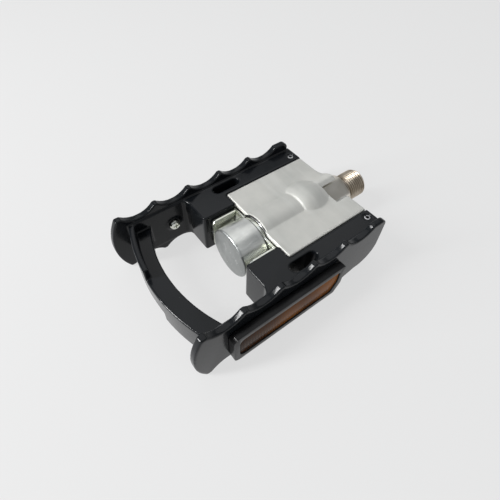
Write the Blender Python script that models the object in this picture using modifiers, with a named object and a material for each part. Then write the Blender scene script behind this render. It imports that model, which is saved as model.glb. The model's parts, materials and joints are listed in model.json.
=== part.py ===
"""Folding flat bicycle pedal: a cast hub that turns on the spindle, and a toothed cage hinged to it.

The spindle lies along X with its crank end at +X, +Y is one side of the cage and +Z is up. Lengths in
the values below are millimetres from the point where the spindle's axis meets the cage's hinge line.
That point lies HINGE_X along +X from the part's own origin, the centre of its bounding box.
"""

import math

import bmesh
import bpy
from mathutils import Matrix, Vector

MM = 0.001

# Overall layout.
CRANK_END = 23.9
OUTER_END = -97.0
HINGE_X = -(CRANK_END + OUTER_END) / 2.0
GAP = 0.3
BEYOND = 60.0
DECK_Z = 10.7
TIP_Z = 15.3

# Spindle.
THREAD_R = 7.15
THREAD_CHAMFER = 1.1
SHOULDER_X = 10.9
SHOULDER_R = 9.0
FLATS_HALF = 7.5
FLATS_TURN = math.radians(27.0)
FLATS_INNER_X = -3.4
JOURNAL_R = 6.65
SPINDLE_NECK_R = 4.0
SPINDLE_NECK_X = -40.8
NUT_THREAD_R = 3.2
NUT_THREAD_CHAMFER = 0.7
NUT_BORE_R = 3.45
NUT_X = (-53.2, -50.0)
NUT_CORNER_R = 5.75
WASHER_T = 0.8
TAB_WASHER_R = 5.4
SPINDLE_OUTER_X = -54.0

# Bearings.
BALL_R = 1.59
RACE_CLEARANCE = 0.21
RACE_LEAN = math.radians(58.0)
CONE_RACE_REACH = 1.3
CUP_RACE_REACH = 0.9
CUP_WALL = 0.9
CUP_MOUTH = 1.8
INNER_BALL_X = -9.5
INNER_PITCH_R = 7.4
INNER_BALLS = 12
INNER_CUP_R = 10.1
INNER_CUP_BACK_X = -13.0
OUTER_BALL_X = -45.0
OUTER_PITCH_R = 5.9
OUTER_BALLS = 10
OUTER_CUP_R = 8.4
OUTER_CUP_BACK_X = -41.7

# Hub casting.
HUB_HALF_WIDTH = 22.4
HUB_CRANK_X = 2.8
CRANK_BULGE = 3.3
HUB_OUTER_R = 43.9
BARREL_R = 12.6
BARREL_OUTER_X = -42.6
STEP_X = -19.5
DOME_R = 14.6
DOME_CENTRE_X = -13.0
DOME_CRANK_ANGLE = 40.0
NOSE_R = 12.0
NOSE_END_X = 6.6
WINDOW_INNER_X = -4.0
WINDOW_HALF_Y = 11.5
WINDOW_DEPTH_Z = 9.5
SEAL_BORE_R = 10.4
THROUGH_BORE_R = 6.6
NECK_R = 9.9
NECK_BORE_R = 8.7
NECK_END_X = -48.6

# Lock slider and its spring.
PLATE_X = (-44.1, -42.7)
PLATE_HALF_Z = 8.6
TAB_HALF_Z = 8.2
PLATE_DISC_R = 11.3
TAB_Y = (13.4, 15.0)
TAB_END_X = -56.6
TAB_CORNER = 2.2
LUG_OUTER_Y = 17.4
LUG_HALF_Z = 3.4
LUG_X = (-47.6, -44.7)
LOCK_TRAVEL = 4.0
POCKET_FLOOR_X = -38.2
SPRING_R = 10.7
SPRING_WIRE_R = 0.45
SPRING_TURNS = 5
SPRING_X = (-42.2, -30.6)
SPRING_ROOM_R = 11.5
SPRING_ROOM_X = -30.0

# Dust cap.
CAP_R = 11.9
CAP_BORE_R = 10.2
CAP_INSIDE_R = 9.4
CAP_X = (-57.6, -44.5)
CAP_FACE_T = 1.6

# Cage casting.
ARM_INNER_Y = 22.8
WALL_INNER_Y = 31.4
WALL_OUTER_Y = 34.5
ARM_CRANK_X = 3.2
WALL_CRANK_X = 2.0
EAR_INNER_Y = 15.3
EAR_OUTER_X = -60.0
EAR_SHOULDER_Y = 27.7
EAR_ARC_R = 44.3
RAIL_INNER_Y = 30.6
RAIL_END_X = -88.5
TOOTH_PITCH = 17.15
FIRST_TIP_X = -5.3
TOOTH_COUNT = 6
TOOTH_DEPTH = 3.3
TIP_FLAT = 1.6
LOWER_CORNER_R = 11.0
BAR_HALF_Z = 5.0
BAR_INNER_R = 69.0
BAR_OUTER_R = 80.0
BAR_INNER_X = -86.3
BAR_OUTER_X = -94.6
RIM_T = 2.4
RIM_START_Y = 5.8
SLOT_X = -39.5
SLOT_Y = 27.7
SLOT_LENGTH = 14.3
SLOT_WIDTH = 4.8

# Cage hinge.
PIN_R = 2.5
PIN_Y = (12.4, 31.0)
PIN_BORE_R = 2.8
BUSH_R = 3.7
BUSH_Y = (12.1, 22.1)
WASHER_R = 5.0
WASHER_Y = (22.75, 23.8)
ROLL_PIN_Y = 26.3
ROLL_PIN_R = 1.4
ROLL_PIN_HOLLOW_R = 0.8
ROLL_PIN_HALF = 10.4

# Reflectors.
REFLECTOR_X = (-82.0, -24.6)
REFLECTOR_Z = (-11.2, 7.2)
REFLECTOR_BACK_Y = 34.8
REFLECTOR_FACE_Y = 38.2
REFLECTOR_CUT = 3.0
LENS_INSET = 2.6
LENS_SEAT_Y = 36.2
LENS_FACE_Y = 37.7
SCREW_X = (-68.0, -39.0)
SCREW_R = 1.4
SCREW_HEAD_R = 2.6
SCREW_HEAD_Y = (28.2, 29.8)
SCREW_TIP_Y = 35.9
BOSS_R = 3.6
BOSS_Y = 30.1

SIDES = (("front", -1.0), ("rear", 1.0))


def clear_scene():
    for item in list(bpy.data.objects):
        bpy.data.objects.remove(item, do_unlink=True)


def new_collection(name):
    made = bpy.data.collections.new(name)
    bpy.context.scene.collection.children.link(made)
    return made


def new_material(name, colour, roughness, metallic):
    made = bpy.data.materials.new(name)
    made.use_nodes = True
    shader = made.node_tree.nodes["Principled BSDF"]
    shader.inputs["Base Color"].default_value = (*colour, 1.0)
    shader.inputs["Roughness"].default_value = roughness
    shader.inputs["Metallic"].default_value = metallic
    return made


def axis_empty(name):
    """An empty where the spindle's axis meets the hinge line, for the pieces of one moving body."""
    empty = bpy.data.objects.new(name, None)
    empty.location = (HINGE_X * MM, 0.0, 0.0)
    empty.empty_display_size = 0.01
    parts.objects.link(empty)
    return empty


clear_scene()
parts = new_collection("folding_flat_pedal")
cutters = new_collection("cutters")

spindle_body = axis_empty("spindle_body")
inner_balls_body = axis_empty("inner_balls_body")
outer_balls_body = axis_empty("outer_balls_body")
hub_body_axis = axis_empty("hub_body_axis")
slider_body = axis_empty("slider_body")
cage_body = axis_empty("cage_body")

plated_steel = new_material("plated_steel", (0.42, 0.38, 0.33), 0.32, 1.0)
bearing_steel = new_material("bearing_steel", (0.62, 0.63, 0.65), 0.15, 1.0)
zinc = new_material("zinc_plate", (0.66, 0.68, 0.60), 0.25, 1.0)
cast_aluminium = new_material("cast_aluminium", (0.64, 0.64, 0.61), 0.42, 1.0)
turned_aluminium = new_material("turned_aluminium", (0.66, 0.67, 0.67), 0.28, 1.0)
black_casting = new_material("black_casting", (0.012, 0.013, 0.016), 0.3, 0.0)
black_plastic = new_material("black_plastic", (0.012, 0.012, 0.013), 0.4, 0.0)
amber = new_material("amber_lens", (0.55, 0.16, 0.02), 0.12, 0.0)
rubber = new_material("black_rubber", (0.02, 0.02, 0.02), 0.7, 0.0)
bronze = new_material("bronze", (0.55, 0.38, 0.2), 0.35, 1.0)
nylon = new_material("white_nylon", (0.8, 0.79, 0.75), 0.5, 0.0)
spring_steel = new_material("spring_steel", (0.45, 0.45, 0.46), 0.3, 1.0)


# Shapes ------------------------------------------------------------------------------------------

def as_part(obj, name, parent, finish):
    obj.name = name
    obj.data.name = name
    parts.objects.link(obj)
    obj.parent = parent
    obj.data.materials.clear()
    obj.data.materials.append(finish)
    return obj


def as_cutter(obj, name):
    """A guide that a Boolean uses; it shares the parts' frame and is not a part itself."""
    obj.name = name
    obj.data.name = name
    cutters.objects.link(obj)
    obj.parent = hub_body_axis
    obj.hide_render = True
    obj.display_type = "WIRE"
    return obj


def boolean(obj, operation, others):
    for other in others:
        step = obj.modifiers.new(f"{operation.lower()} {other.name}", "BOOLEAN")
        step.operation = operation
        step.solver = "EXACT"
        step.object = other


def cut(obj, *others):
    boolean(obj, "DIFFERENCE", others)


def join(obj, *others):
    boolean(obj, "UNION", others)


def smooth(obj, angle=35.0):
    obj.data.shade_smooth()
    obj.data.set_sharp_from_angle(angle=math.radians(angle))


def filled_object(fill):
    """A new object whose mesh the function fill makes in a bmesh."""
    mesh = bpy.data.meshes.new("mesh")
    work = bmesh.new()
    fill(work)
    work.to_mesh(mesh)
    work.free()
    return bpy.data.objects.new("shape", mesh)


def span(first, second):
    return min(first, second), max(first, second)


def box(x_ends, y_ends, z_ends):
    """A box between two ends on each axis, in either order."""
    ends = [span(*pair) for pair in (x_ends, y_ends, z_ends)]
    size = Vector([high - low for low, high in ends]) * MM
    middle = Vector([high + low for low, high in ends]) * MM / 2.0

    def fill(work):
        placing = Matrix.Translation(middle) @ Matrix.Diagonal((*size, 1.0))
        bmesh.ops.create_cube(work, size=1.0, matrix=placing)

    return filled_object(fill)


def cylinder(centre, axis, radius, length, segments=24):
    """A cylinder about its centre, with its axis along a vector."""
    turn = Vector((0.0, 0.0, 1.0)).rotation_difference(Vector(axis)).to_matrix().to_4x4()
    placing = Matrix.Translation(Vector(centre) * MM) @ turn

    def fill(work):
        bmesh.ops.create_cone(
            work,
            cap_ends=True,
            segments=segments,
            radius1=radius * MM,
            radius2=radius * MM,
            depth=length * MM,
            matrix=placing,
        )

    return filled_object(fill)


def turned(profile, ring=False, segments=32, about="X", centre=(0.0, 0.0, 0.0)):
    """A profile of (distance along the axis, radius) points, far end first down the outer side, turned
    about the X axis or about a line along Y or Z through centre."""

    def fill(work):
        points = [work.verts.new((radius * MM, 0.0, along * MM)) for along, radius in profile]
        for first, second in zip(points, points[1:]):
            work.edges.new((first, second))
        if ring:
            work.edges.new((points[-1], points[0]))

    turns = {"X": (0.0, math.pi / 2.0, 0.0), "Y": (-math.pi / 2.0, 0.0, 0.0), "Z": (0.0, 0.0, 0.0)}
    obj = filled_object(fill)
    obj.rotation_euler = turns[about]
    obj.location = Vector(centre) * MM
    screw = obj.modifiers.new("turn", "SCREW")
    screw.axis = "Z"
    screw.steps = segments
    screw.render_steps = segments
    screw.use_merge_vertices = True
    screw.merge_threshold = 0.00001
    return obj


def outline_solid(points, low, high, plane):
    """A flat outline with a thickness: plane XY is thick along Z, XZ along Y and YZ along X."""
    curve = bpy.data.curves.new("outline", "CURVE")
    curve.dimensions = "2D"
    curve.fill_mode = "BOTH"
    curve.extrude = (high - low) / 2.0 * MM
    spline = curve.splines.new("POLY")
    spline.points.add(len(points) - 1)
    for point, (along, across) in zip(spline.points, points):
        point.co = (along * MM, across * MM, 0.0, 1.0)
    spline.use_cyclic_u = True
    middle = (high + low) / 2.0 * MM
    half_turn = math.pi / 2.0
    flat = bpy.data.objects.new("outline", curve)
    if plane == "XY":
        flat.location = (0.0, 0.0, middle)
    elif plane == "XZ":
        flat.location = (0.0, middle, 0.0)
        flat.rotation_euler = (half_turn, 0.0, 0.0)
    else:
        flat.location = (middle, 0.0, 0.0)
        flat.rotation_euler = (half_turn, 0.0, half_turn)
    bpy.context.scene.collection.objects.link(flat)
    bpy.context.view_layer.update()
    graph = bpy.context.evaluated_depsgraph_get()
    mesh = bpy.data.meshes.new_from_object(flat.evaluated_get(graph))
    work = bmesh.new()
    work.from_mesh(mesh)
    bmesh.ops.remove_doubles(work, verts=work.verts, dist=0.00001)
    bmesh.ops.dissolve_limit(work, angle_limit=0.001, verts=work.verts, edges=work.edges)
    bmesh.ops.recalc_face_normals(work, faces=work.faces)
    work.to_mesh(mesh)
    work.free()
    solid = bpy.data.objects.new("shape", mesh)
    solid.matrix_world = flat.matrix_world.copy()
    bpy.data.objects.remove(flat, do_unlink=True)
    return solid


def arc(centre, radius, start, end, steps):
    """Points of an arc in a plane, both ends included; the angles are in degrees."""
    turns = [math.radians(start + (end - start) * i / steps) for i in range(steps + 1)]
    return [(centre[0] + radius * math.cos(t), centre[1] + radius * math.sin(t)) for t in turns]


def bulged_end(x, half_height, bulge, steps):
    """An end face that stands out by bulge at mid height, from its lower edge to its upper edge."""
    radius = (half_height**2 + bulge**2) / (2.0 * bulge)
    spread = math.degrees(math.asin(half_height / radius))
    return arc((x + bulge - radius, 0.0), radius, -spread, spread, steps)


# Spindle and bearings ----------------------------------------------------------------------------

def race(ball_x, pitch_r, side, reach):
    """The two ends of the straight race that the balls roll on, crank end first.

    side is +1 for the cone under the balls and -1 for the cup over them.
    """
    touch = BALL_R + RACE_CLEARANCE
    x = ball_x + side * touch * math.cos(RACE_LEAN)
    r = pitch_r - side * touch * math.sin(RACE_LEAN)
    step_x = reach * math.sin(RACE_LEAN)
    step_r = reach * math.cos(RACE_LEAN)
    return (x + step_x, r + step_r), (x - step_x, r - step_r)


def faced_about(points, ball_x):
    """The same race turned end for end, still crank end first."""
    return [(2.0 * ball_x - x, r) for x, r in reversed(points)]


def make_spindle():
    cone = race(INNER_BALL_X, INNER_PITCH_R, 1.0, CONE_RACE_REACH)
    profile = [
        (CRANK_END, 0.0),
        (CRANK_END, THREAD_R - THREAD_CHAMFER),
        (CRANK_END - THREAD_CHAMFER, THREAD_R),
        (SHOULDER_X, THREAD_R),
        (SHOULDER_X, SHOULDER_R),
        (FLATS_INNER_X, SHOULDER_R),
        (FLATS_INNER_X, JOURNAL_R),
        *cone,
        (SPINDLE_NECK_X, SPINDLE_NECK_R),
        (SPINDLE_NECK_X - 1.0, NUT_THREAD_R),
        (SPINDLE_OUTER_X + NUT_THREAD_CHAMFER, NUT_THREAD_R),
        (SPINDLE_OUTER_X, NUT_THREAD_R - NUT_THREAD_CHAMFER),
        (SPINDLE_OUTER_X, 0.0),
    ]
    spindle = turned(profile, segments=36)
    ends = (FLATS_INNER_X - 1.0, SHOULDER_X + 0.01)
    for label, side in (("upper", 1.0), ("lower", -1.0)):
        block = box(ends, (-BEYOND, BEYOND), (side * FLATS_HALF, side * BEYOND))
        block.rotation_euler = (FLATS_TURN, 0.0, 0.0)
        cut(spindle, as_cutter(block, f"wrench_flat_{label}"))
    smooth(spindle)
    as_part(spindle, "spindle", spindle_body, plated_steel)


def make_outer_cone():
    inboard, outboard = faced_about(race(OUTER_BALL_X, OUTER_PITCH_R, 1.0, CONE_RACE_REACH), OUTER_BALL_X)
    profile = [
        inboard,
        outboard,
        (NECK_END_X, outboard[1]),
        (NECK_END_X, NUT_BORE_R),
        (inboard[0], NUT_BORE_R),
    ]
    as_part(turned(profile, ring=True), "outer_cone", spindle_body, bearing_steel)


def make_tab_washer():
    near_x = NECK_END_X - GAP
    far_x = near_x - WASHER_T
    profile = [
        (near_x, TAB_WASHER_R),
        (far_x, TAB_WASHER_R),
        (far_x, NUT_BORE_R),
        (near_x, NUT_BORE_R),
    ]
    as_part(turned(profile, ring=True), "tab_washer", spindle_body, zinc)


def make_lock_nut():
    middle = ((NUT_X[0] + NUT_X[1]) / 2.0, 0.0, 0.0)
    along = (1.0, 0.0, 0.0)
    thickness = NUT_X[1] - NUT_X[0]
    nut = cylinder(middle, along, NUT_CORNER_R, thickness, segments=6)
    bore = cylinder(middle, along, NUT_BORE_R, 2.0 * thickness)
    cut(nut, as_cutter(bore, "lock_nut_bore"))
    as_part(nut, "lock_nut", spindle_body, zinc)


def make_balls(label, ball_x, pitch_r, count, parent):
    """A ring of separate bearing balls about the spindle, which share one mesh."""

    def fill(work):
        bmesh.ops.create_uvsphere(work, u_segments=8, v_segments=6, radius=BALL_R * MM)

    pattern = filled_object(fill)
    smooth(pattern, 60.0)
    for i in range(count):
        turn = 2.0 * math.pi * i / count
        ball = bpy.data.objects.new("ball", pattern.data)
        ball.location = (
            ball_x * MM,
            pitch_r * math.cos(turn) * MM,
            pitch_r * math.sin(turn) * MM,
        )
        as_part(ball, f"{label}_{i + 1:02d}", parent, bearing_steel)
    bpy.data.objects.remove(pattern, do_unlink=True)


# Hub ---------------------------------------------------------------------------------------------

def hub_side_outline():
    """The hub from the side: flat decks, a slightly bulged crank end and an outer end about the hinge."""
    tilt = math.degrees(math.asin(DECK_Z / HUB_OUTER_R))
    outer = arc((0.0, 0.0), HUB_OUTER_R, 180.0 - tilt, 180.0 + tilt, 6)
    return bulged_end(HUB_CRANK_X, DECK_Z, CRANK_BULGE, 8) + outer


def hub_window(label, side):
    """An opening through the nose and the deck beside it, with a floor parallel to the wrench flats."""
    window = box((WINDOW_INNER_X, BEYOND), (-BEYOND, BEYOND), (side * WINDOW_DEPTH_Z, side * BEYOND))
    window.rotation_euler = (FLATS_TURN, 0.0, 0.0)
    x_ends = (WINDOW_INNER_X - 1.0, BEYOND + 1.0)
    strip = box(x_ends, (-WINDOW_HALF_Y, WINDOW_HALF_Y), (-2.0 * BEYOND, 2.0 * BEYOND))
    boolean(window, "INTERSECT", [as_cutter(strip, f"hub_window_strip_{label}")])
    return as_cutter(window, f"hub_window_{label}")


def plate_outline(clearance):
    """The lock plate from the end: a disc about the spindle with two slightly tapered wings."""
    radius = PLATE_DISC_R + clearance
    half_z = PLATE_HALF_Z + clearance
    half_y = TAB_Y[1] + clearance
    tip_z = TAB_HALF_Z + clearance
    rise = math.degrees(math.asin(half_z / radius))
    upper = arc((0.0, 0.0), radius, rise, 180.0 - rise, 12)
    lower = arc((0.0, 0.0), radius, 180.0 + rise, 360.0 - rise, 12)
    right = [(half_y, -tip_z), (half_y, tip_z)]
    left = [(-half_y, tip_z), (-half_y, -tip_z)]
    return right + upper + left + lower


def solid_of_revolution(low_x, high_x, radius, name):
    """A plain turned guide between two places on the spindle's axis."""
    profile = [(high_x, 0.0), (high_x, radius), (low_x, radius), (low_x, 0.0)]
    return as_cutter(turned(profile, segments=36), name)


def hub_dome():
    """The raised dome over the inner bearing, with a step down to the barrel."""
    crest = arc((DOME_CENTRE_X, 0.0), DOME_R, DOME_CRANK_ANGLE, 90.0, 9)
    profile = [(crest[0][0], 0.0)] + crest + [(STEP_X, DOME_R), (STEP_X, 0.0)]
    return as_cutter(turned(profile, segments=44), "hub_dome")


def hub_barrel():
    shoulder = 0.9
    profile = [
        (STEP_X + 2.0, 0.0),
        (STEP_X + 2.0, BARREL_R),
        (BARREL_OUTER_X + shoulder, BARREL_R),
        (BARREL_OUTER_X, BARREL_R - shoulder),
        (BARREL_OUTER_X, 0.0),
    ]
    return as_cutter(turned(profile, segments=40), "hub_barrel")


def hub_bore():
    """One stepped bore: seal and inner cup, a clearance bore, and the outer cup."""
    inner_seat_x = INNER_CUP_BACK_X - GAP
    outer_seat_x = OUTER_CUP_BACK_X + GAP
    profile = [
        (BEYOND, 0.0),
        (BEYOND, SEAL_BORE_R),
        (inner_seat_x, SEAL_BORE_R),
        (inner_seat_x, THROUGH_BORE_R),
        (outer_seat_x, THROUGH_BORE_R),
        (outer_seat_x, NECK_BORE_R),
        (-BEYOND, NECK_BORE_R),
        (-BEYOND, 0.0),
    ]
    return as_cutter(turned(profile, segments=36), "hub_bore")


def lock_room():
    """The space round the hub's neck for the slider's travel, its two lugs and its spring."""
    room = outline_solid(plate_outline(GAP), -BEYOND, POCKET_FLOOR_X, "YZ")
    spring_room = solid_of_revolution(2.0 - BEYOND, SPRING_ROOM_X, SPRING_ROOM_R, "hub_spring_room")
    join(room, spring_room)
    lug_room_x = LUG_X[1] + LOCK_TRAVEL + GAP
    lug_room_z = LUG_HALF_Z + GAP
    for label, side in SIDES:
        lug_room_y = (side * (TAB_Y[0] - GAP), side * (LUG_OUTER_Y + GAP))
        lug_room = box((1.0 - BEYOND, lug_room_x), lug_room_y, (-lug_room_z, lug_room_z))
        join(room, as_cutter(lug_room, f"hub_lug_room_{label}"))
    cut(room, solid_of_revolution(-1.0 - BEYOND, SPRING_ROOM_X + 1.0, NECK_R, "hub_neck_core"))
    return as_cutter(room, "hub_lock_room")


def make_hub():
    hub = outline_solid(hub_side_outline(), -HUB_HALF_WIDTH, HUB_HALF_WIDTH, "XZ")
    neck_root_x = POCKET_FLOOR_X - 2.0
    neck_stock = solid_of_revolution(NECK_END_X, neck_root_x, NECK_R + 0.4, "hub_neck_stock")
    nose = solid_of_revolution(DOME_CENTRE_X, NOSE_END_X, NOSE_R, "hub_nose")
    join(hub, hub_barrel(), hub_dome(), nose, neck_stock)
    windows = [hub_window(label, side) for label, side in (("upper", 1.0), ("lower", -1.0))]
    cut(hub, *windows, lock_room(), hub_bore())
    for label, side in SIDES:
        length = HUB_HALF_WIDTH - BUSH_Y[0] + 2.0
        middle = (0.0, side * (BUSH_Y[0] - GAP + length / 2.0), 0.0)
        room = cylinder(middle, (0.0, 1.0, 0.0), BUSH_R + GAP, length)
        cut(hub, as_cutter(room, f"hub_bush_room_{label}"))
    as_part(hub, "hub_body", hub_body_axis, cast_aluminium)


def make_inner_cup():
    upper, lower = race(INNER_BALL_X, INNER_PITCH_R, -1.0, CUP_RACE_REACH)
    mouth_x = INNER_BALL_X + CUP_MOUTH
    web_r = INNER_PITCH_R
    profile = [
        (mouth_x, INNER_CUP_R),
        (INNER_CUP_BACK_X, INNER_CUP_R),
        (INNER_CUP_BACK_X, web_r),
        (INNER_CUP_BACK_X + CUP_WALL, web_r),
        lower,
        upper,
        (mouth_x, upper[1]),
    ]
    as_part(turned(profile, ring=True), "inner_cup", hub_body_axis, bearing_steel)


def make_outer_cup():
    inboard, outboard = faced_about(race(OUTER_BALL_X, OUTER_PITCH_R, -1.0, CUP_RACE_REACH), OUTER_BALL_X)
    mouth_x = OUTER_BALL_X - CUP_MOUTH
    web_r = OUTER_PITCH_R
    profile = [
        (OUTER_CUP_BACK_X, OUTER_CUP_R),
        (mouth_x, OUTER_CUP_R),
        (mouth_x, outboard[1]),
        outboard,
        inboard,
        (OUTER_CUP_BACK_X - CUP_WALL, web_r),
        (OUTER_CUP_BACK_X, web_r),
    ]
    as_part(turned(profile, ring=True), "outer_cup", hub_body_axis, bearing_steel)


def make_inner_seal():
    ends = (INNER_BALL_X + CUP_MOUTH + 0.4, WINDOW_INNER_X - 0.6)
    lip_r = JOURNAL_R + GAP
    profile = [(ends[1], INNER_CUP_R), (ends[0], INNER_CUP_R), (ends[0], lip_r), (ends[1], lip_r)]
    as_part(turned(profile, ring=True), "inner_seal", hub_body_axis, rubber)


def make_dust_cap():
    """A closed cup over the neck: its inside first, from the face to the mouth, then its outside."""
    face_x, mouth_x = CAP_X
    inside_x = face_x + CAP_FACE_T
    step_x = NECK_END_X - GAP
    chamfer = 0.7
    profile = [
        (inside_x, 0.0),
        (inside_x, CAP_INSIDE_R),
        (step_x, CAP_INSIDE_R),
        (step_x, CAP_BORE_R),
        (mouth_x, CAP_BORE_R),
        (mouth_x, CAP_R),
        (face_x + chamfer, CAP_R),
        (face_x, CAP_R - chamfer),
        (face_x, 0.0),
    ]
    cap = turned(profile, segments=40)
    smooth(cap)
    as_part(cap, "dust_cap", hub_body_axis, turned_aluminium)


def make_hinge_bushes():
    for label, side in SIDES:
        low, high = span(side * BUSH_Y[0], side * BUSH_Y[1])
        profile = [(high, BUSH_R), (low, BUSH_R), (low, PIN_BORE_R), (high, PIN_BORE_R)]
        bush = turned(profile, ring=True, segments=24, about="Y")
        as_part(bush, f"hinge_bush_{label}", hub_body_axis, bronze)


def make_lock_spring():
    """A compression coil about the hub's neck, behind the lock plate."""
    per_turn = 12
    count = SPRING_TURNS * per_turn + 1
    curve = bpy.data.curves.new("lock_spring", "CURVE")
    curve.dimensions = "3D"
    curve.bevel_depth = SPRING_WIRE_R * MM
    curve.bevel_resolution = 2
    curve.use_fill_caps = True
    spline = curve.splines.new("POLY")
    spline.points.add(count - 1)
    low_x, high_x = SPRING_X
    for i, point in enumerate(spline.points):
        share = i / (count - 1)
        turn = 2.0 * math.pi * i / per_turn
        x = low_x + SPRING_WIRE_R + (high_x - low_x - 2.0 * SPRING_WIRE_R) * share
        y = SPRING_R * math.cos(turn)
        z = SPRING_R * math.sin(turn)
        point.co = (x * MM, y * MM, z * MM, 1.0)
    spring = bpy.data.objects.new("lock_spring", curve)
    as_part(spring, "lock_spring", hub_body_axis, spring_steel)


def tab_outline():
    """One tab of the lock slider from the side, with its outer corners cut."""
    root_x = PLATE_X[1] - 0.4
    inner_x = TAB_END_X + TAB_CORNER
    inner_z = TAB_HALF_Z - TAB_CORNER
    return [
        (root_x, -TAB_HALF_Z),
        (root_x, TAB_HALF_Z),
        (inner_x, TAB_HALF_Z),
        (TAB_END_X, inner_z),
        (TAB_END_X, -inner_z),
        (inner_x, -TAB_HALF_Z),
    ]


def make_lock_slider():
    slider = outline_solid(plate_outline(0.0), *PLATE_X, "YZ")
    cut(slider, solid_of_revolution(-BEYOND, SPRING_ROOM_X, NECK_R + GAP, "lock_plate_hole"))
    for label, side in SIDES:
        low, high = span(side * TAB_Y[0], side * TAB_Y[1])
        tab = outline_solid(tab_outline(), low, high, "XZ")
        lug = box(LUG_X, (side * 14.0, side * LUG_OUTER_Y), (-LUG_HALF_Z, LUG_HALF_Z))
        join(slider, as_cutter(tab, f"lock_tab_{label}"), as_cutter(lug, f"lock_lug_{label}"))
    as_part(slider, "lock_slider", slider_body, zinc)


# Cage --------------------------------------------------------------------------------------------

def tooth_edge(first_tip, last_tip):
    """The scalloped edge over a run of teeth, from the crank end outwards, at +Z."""
    half_chord = (TOOTH_PITCH - TIP_FLAT) / 2.0
    radius = (half_chord**2 + TOOTH_DEPTH**2) / (2.0 * TOOTH_DEPTH)
    spread = math.degrees(math.asin(half_chord / radius))
    centre_z = TIP_Z - TOOTH_DEPTH + radius
    points = []
    for tooth in range(first_tip, last_tip):
        centre_x = FIRST_TIP_X - TOOTH_PITCH * (tooth + 0.5)
        points += arc((centre_x, centre_z), radius, 270.0 + spread, 270.0 - spread, 6)
    return points


def wall_outline():
    """One side wall from the side: teeth above and below, a round outer horn and a cut lower corner."""
    corner_r = 3.0
    crank_corner = (WALL_CRANK_X - corner_r, TIP_Z - corner_r)
    top = arc(crank_corner, corner_r, 0.0, 90.0, 5)
    top += tooth_edge(0, TOOTH_COUNT - 1)
    last_tip_x = FIRST_TIP_X - TOOTH_PITCH * (TOOTH_COUNT - 1) - TIP_FLAT
    horn_rise = last_tip_x - OUTER_END
    horn_r = (TIP_Z**2 + horn_rise**2) / (2.0 * horn_rise)
    horn_spread = math.degrees(math.asin(TIP_Z / horn_r))
    horn_centre = (OUTER_END + horn_r, 0.0)
    horn = arc(horn_centre, horn_r, 180.0 - horn_spread, 180.0 + horn_spread, 12)
    bottom = [(x, -z) for x, z in reversed(tooth_edge(1, TOOTH_COUNT - 1))]
    corner_centre = (WALL_CRANK_X - LOWER_CORNER_R, -0.5)
    lower_corner = arc(corner_centre, LOWER_CORNER_R, 265.0, 360.0, 8)
    return top + horn + bottom + lower_corner


def arm_outline(side):
    """The arm, ear and rail of one side from above."""
    cut_y = WALL_INNER_Y + 1.2
    chamfer = 0.8
    points = [
        (8.0, ARM_INNER_Y),
        (8.0, cut_y),
        (RAIL_END_X, cut_y),
        (RAIL_END_X, RAIL_INNER_Y),
        (EAR_OUTER_X - 1.2, RAIL_INNER_Y),
        (EAR_OUTER_X, EAR_SHOULDER_Y),
        (EAR_OUTER_X, EAR_INNER_Y + chamfer),
        (EAR_OUTER_X + chamfer, EAR_INNER_Y),
        (-42.0, EAR_INNER_Y),
        (-42.0, ARM_INNER_Y),
    ]
    return [(x, side * y) for x, y in points]


def deck_band():
    """A band with the decks' height and the arms' bulged crank ends, wide enough for the whole cage."""
    outline = bulged_end(ARM_CRANK_X, DECK_Z, CRANK_BULGE, 8)
    outline += [(OUTER_END, DECK_Z), (OUTER_END, -DECK_Z)]
    return as_cutter(outline_solid(outline, -BEYOND, BEYOND, "XZ"), "deck_band")


def bar_arc(x_at_middle, radius, y_start, y_end, steps):
    """Points of an end-bar arc that bows outwards about the spindle's axis."""
    centre_x = x_at_middle + radius
    start = 180.0 - math.degrees(math.asin(y_start / radius))
    end = 180.0 - math.degrees(math.asin(y_end / radius))
    return arc((centre_x, 0.0), radius, start, end, steps)


def end_bar():
    reach = WALL_INNER_Y + 1.2
    outline = bar_arc(BAR_OUTER_X, BAR_OUTER_R, reach, -reach, 16)
    outline += bar_arc(BAR_INNER_X, BAR_INNER_R, -reach, reach, 14)
    return as_cutter(outline_solid(outline, -BAR_HALF_Z, BAR_HALF_Z, "XY"), "end_bar")


def end_rim(label, side):
    """The lip on the outer half of the bar: above it on one side and below it on the other."""
    reach = WALL_INNER_Y + 1.2
    outer = bar_arc(BAR_OUTER_X, BAR_OUTER_R, side * RIM_START_Y, side * reach, 8)
    inner_r = BAR_OUTER_R - RIM_T
    inner = bar_arc(BAR_OUTER_X + RIM_T, inner_r, side * reach, side * RIM_START_Y, 8)
    low, high = span(side * (BAR_HALF_Z - 1.0), side * DECK_Z)
    return as_cutter(outline_solid(outer + inner, low, high, "XY"), f"end_rim_{label}")


def slot_cutter(label, side):
    half_run = (SLOT_LENGTH - SLOT_WIDTH) / 2.0
    centre_y = side * SLOT_Y
    outline = arc((SLOT_X + half_run, centre_y), SLOT_WIDTH / 2.0, -90.0, 90.0, 8)
    outline += arc((SLOT_X - half_run, centre_y), SLOT_WIDTH / 2.0, 90.0, 270.0, 8)
    return as_cutter(outline_solid(outline, -BEYOND, BEYOND, "XY"), f"slot_{label}")


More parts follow.
